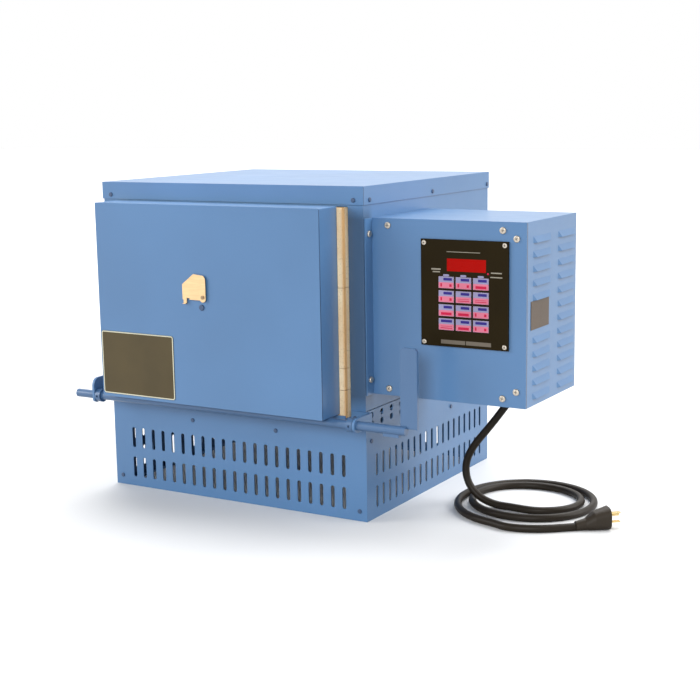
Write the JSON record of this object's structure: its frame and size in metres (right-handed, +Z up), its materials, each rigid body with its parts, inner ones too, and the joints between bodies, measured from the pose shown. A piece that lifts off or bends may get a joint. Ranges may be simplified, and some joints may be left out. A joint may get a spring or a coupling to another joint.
{
  "type": "heat treating furnace",
  "caption": "Bench heat treating furnace: firebrick chamber in a blue steel case on a slotted stand, drop-down door with a lever, side control box and a coiled supply cord.",
  "frame": {"origin": "middle of the bounding box at its base, on the bench, measured without the cord", "axes": "+X to the right seen from the front (the control box side), +Y from the door towards the back, +Z up; the door faces -Y"},
  "size_m": [0.8093, 0.4686, 0.471],
  "materials": {
    "blue_paint": "satin powder coat",
    "ceramic_fibre": "matte",
    "firebrick": "matte, porous",
    "element_wire": "oxidised",
    "sheath_ceramic": "matte",
    "black_plate": "satin",
    "brass_plate": "brushed",
    "bright_steel": "polished",
    "brown_plate": "satin",
    "black_plastic": "matte",
    "red_window": "gloss",
    "board_green": "satin",
    "core_steel": "matte",
    "key_print": "satin",
    "black_rubber": "matte",
    "brass_blade": "polished"
  },
  "bodies": {
    "furnace": {"stand_front": "blue_paint", "stand_back": "blue_paint", "stand_left": "blue_paint", "stand_right": "blue_paint", "stand_screws": "blue_paint", "case_floor_pan": "blue_paint", "case_front_frame": "blue_paint", "case_left_panel": "blue_paint", "case_right_panel": "blue_paint", "case_back_panel": "blue_paint", "top_lid": "blue_paint", "lid_screws": "blue_paint", "bracket_screws": "blue_paint", "fibre_blanket": "ceramic_fibre", "brick_floor": "firebrick", "brick_roof": "firebrick", "brick_wall_left": "firebrick", "brick_wall_right": "firebrick", "brick_wall_back": "firebrick", "heating_element_left": "element_wire", "heating_element_right": "element_wire", "thermocouple": "sheath_ceramic", "hinge_bracket_left": "blue_paint", "hinge_bracket_right": "blue_paint", "control_box_shell": "blue_paint", "control_front_panel": "blue_paint", "panel_screws": "bright_steel", "rating_plate": "brown_plate", "controller_face": "black_plastic", "display_window": "red_window", "circuit_board": "board_green", "power_relay": "black_plastic", "transformer": "core_steel", "strain_relief": "black_rubber", "power_cord": "black_rubber", "cord_coil": "black_rubber", "plug_body": "black_rubber", "plug_prongs": "brass_blade"},
    "door": {"door_shell": "blue_paint", "door_brick_lower": "firebrick", "door_brick_middle": "firebrick", "door_brick_upper": "firebrick", "hinge_rod": "blue_paint", "hinge_collars": "blue_paint", "lever_handle": "blue_paint", "door_plate": "black_plate", "door_fasteners": "blue_paint"},
    "peephole_cover": {"peephole_cover": "brass_plate"},
    "key_01": {"key_01": "key_print"},
    "key_02": {"key_02": "key_print"},
    "key_03": {"key_03": "key_print"},
    "key_04": {"key_04": "key_print"},
    "key_05": {"key_05": "key_print"},
    "key_06": {"key_06": "key_print"},
    "key_07": {"key_07": "key_print"},
    "key_08": {"key_08": "key_print"},
    "key_09": {"key_09": "key_print"},
    "key_10": {"key_10": "key_print"},
    "key_11": {"key_11": "key_print"},
    "key_12": {"key_12": "key_print"}
  },
  "joints": [
    {"name": "door_hinge", "type": "hinge", "parent": "furnace", "child": "door", "pos_m": [-0.1194, -0.2072, 0.14925], "axis": [1, 0, 0], "range_deg": [0, 90]},
    {"name": "cover_pivot", "type": "hinge", "parent": "door", "child": "peephole_cover", "pos_m": [-0.0991, -0.2313, 0.3148], "axis": [0, 1, 0], "range_deg": [0, 100]},
    {"name": "key_01_press", "type": "slide", "parent": "furnace", "child": "key_01", "axis": [0, 1, 0], "range_m": [0, 0.0004], "stiffness_N_per_m": 2500},
    {"name": "key_02_press", "type": "slide", "parent": "furnace", "child": "key_02", "axis": [0, 1, 0], "range_m": [0, 0.0004], "stiffness_N_per_m": 2500},
    {"name": "key_03_press", "type": "slide", "parent": "furnace", "child": "key_03", "axis": [0, 1, 0], "range_m": [0, 0.0004], "stiffness_N_per_m": 2500},
    {"name": "key_04_press", "type": "slide", "parent": "furnace", "child": "key_04", "axis": [0, 1, 0], "range_m": [0, 0.0004], "stiffness_N_per_m": 2500},
    {"name": "key_05_press", "type": "slide", "parent": "furnace", "child": "key_05", "axis": [0, 1, 0], "range_m": [0, 0.0004], "stiffness_N_per_m": 2500},
    {"name": "key_06_press", "type": "slide", "parent": "furnace", "child": "key_06", "axis": [0, 1, 0], "range_m": [0, 0.0004], "stiffness_N_per_m": 2500},
    {"name": "key_07_press", "type": "slide", "parent": "furnace", "child": "key_07", "axis": [0, 1, 0], "range_m": [0, 0.0004], "stiffness_N_per_m": 2500},
    {"name": "key_08_press", "type": "slide", "parent": "furnace", "child": "key_08", "axis": [0, 1, 0], "range_m": [0, 0.0004], "stiffness_N_per_m": 2500},
    {"name": "key_09_press", "type": "slide", "parent": "furnace", "child": "key_09", "axis": [0, 1, 0], "range_m": [0, 0.0004], "stiffness_N_per_m": 2500},
    {"name": "key_10_press", "type": "slide", "parent": "furnace", "child": "key_10", "axis": [0, 1, 0], "range_m": [0, 0.0004], "stiffness_N_per_m": 2500},
    {"name": "key_11_press", "type": "slide", "parent": "furnace", "child": "key_11", "axis": [0, 1, 0], "range_m": [0, 0.0004], "stiffness_N_per_m": 2500},
    {"name": "key_12_press", "type": "slide", "parent": "furnace", "child": "key_12", "axis": [0, 1, 0], "range_m": [0, 0.0004], "stiffness_N_per_m": 2500}
  ]
}
